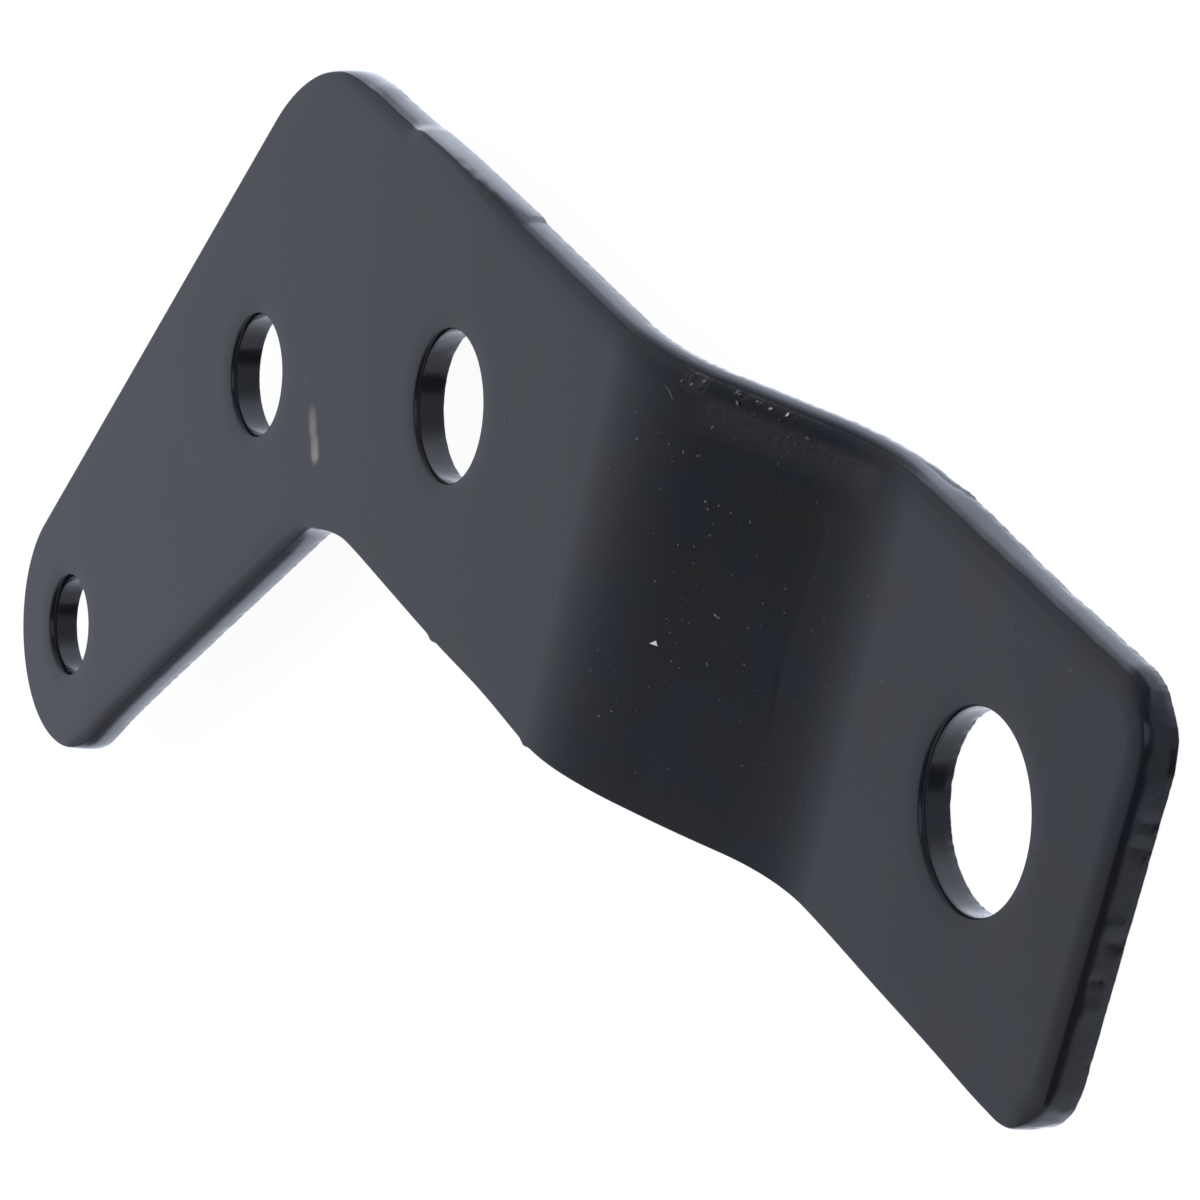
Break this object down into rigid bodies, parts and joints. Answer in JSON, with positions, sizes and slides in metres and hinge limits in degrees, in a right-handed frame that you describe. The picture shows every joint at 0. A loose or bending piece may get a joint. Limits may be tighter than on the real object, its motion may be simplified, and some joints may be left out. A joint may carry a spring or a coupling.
{
  "type": "idler bracket",
  "caption": "Folded steel plate bracket: an offset end plate with the idler bore, a slanted web, and a high plate with pivot and link bores and an angled leg. Black gloss paint.",
  "frame": {"origin": "on the idler bore's axis, in the underside of the low plate", "axes": "+X runs along the strip from the pivot bore to the free end of the low plate, +Y runs across the strip away from the leg, and +Z is normal to both plates, towards the side on which the high plate stands proud"},
  "size_m": [0.1717, 0.0859, 0.0154],
  "materials": {
    "black_paint": "gloss black paint over mild steel plate, with fine orange peel, dust nibs and blisters along one edge"
  },
  "bodies": {
    "root": {"bracket": "black_paint"}
  },
  "joints": []
}
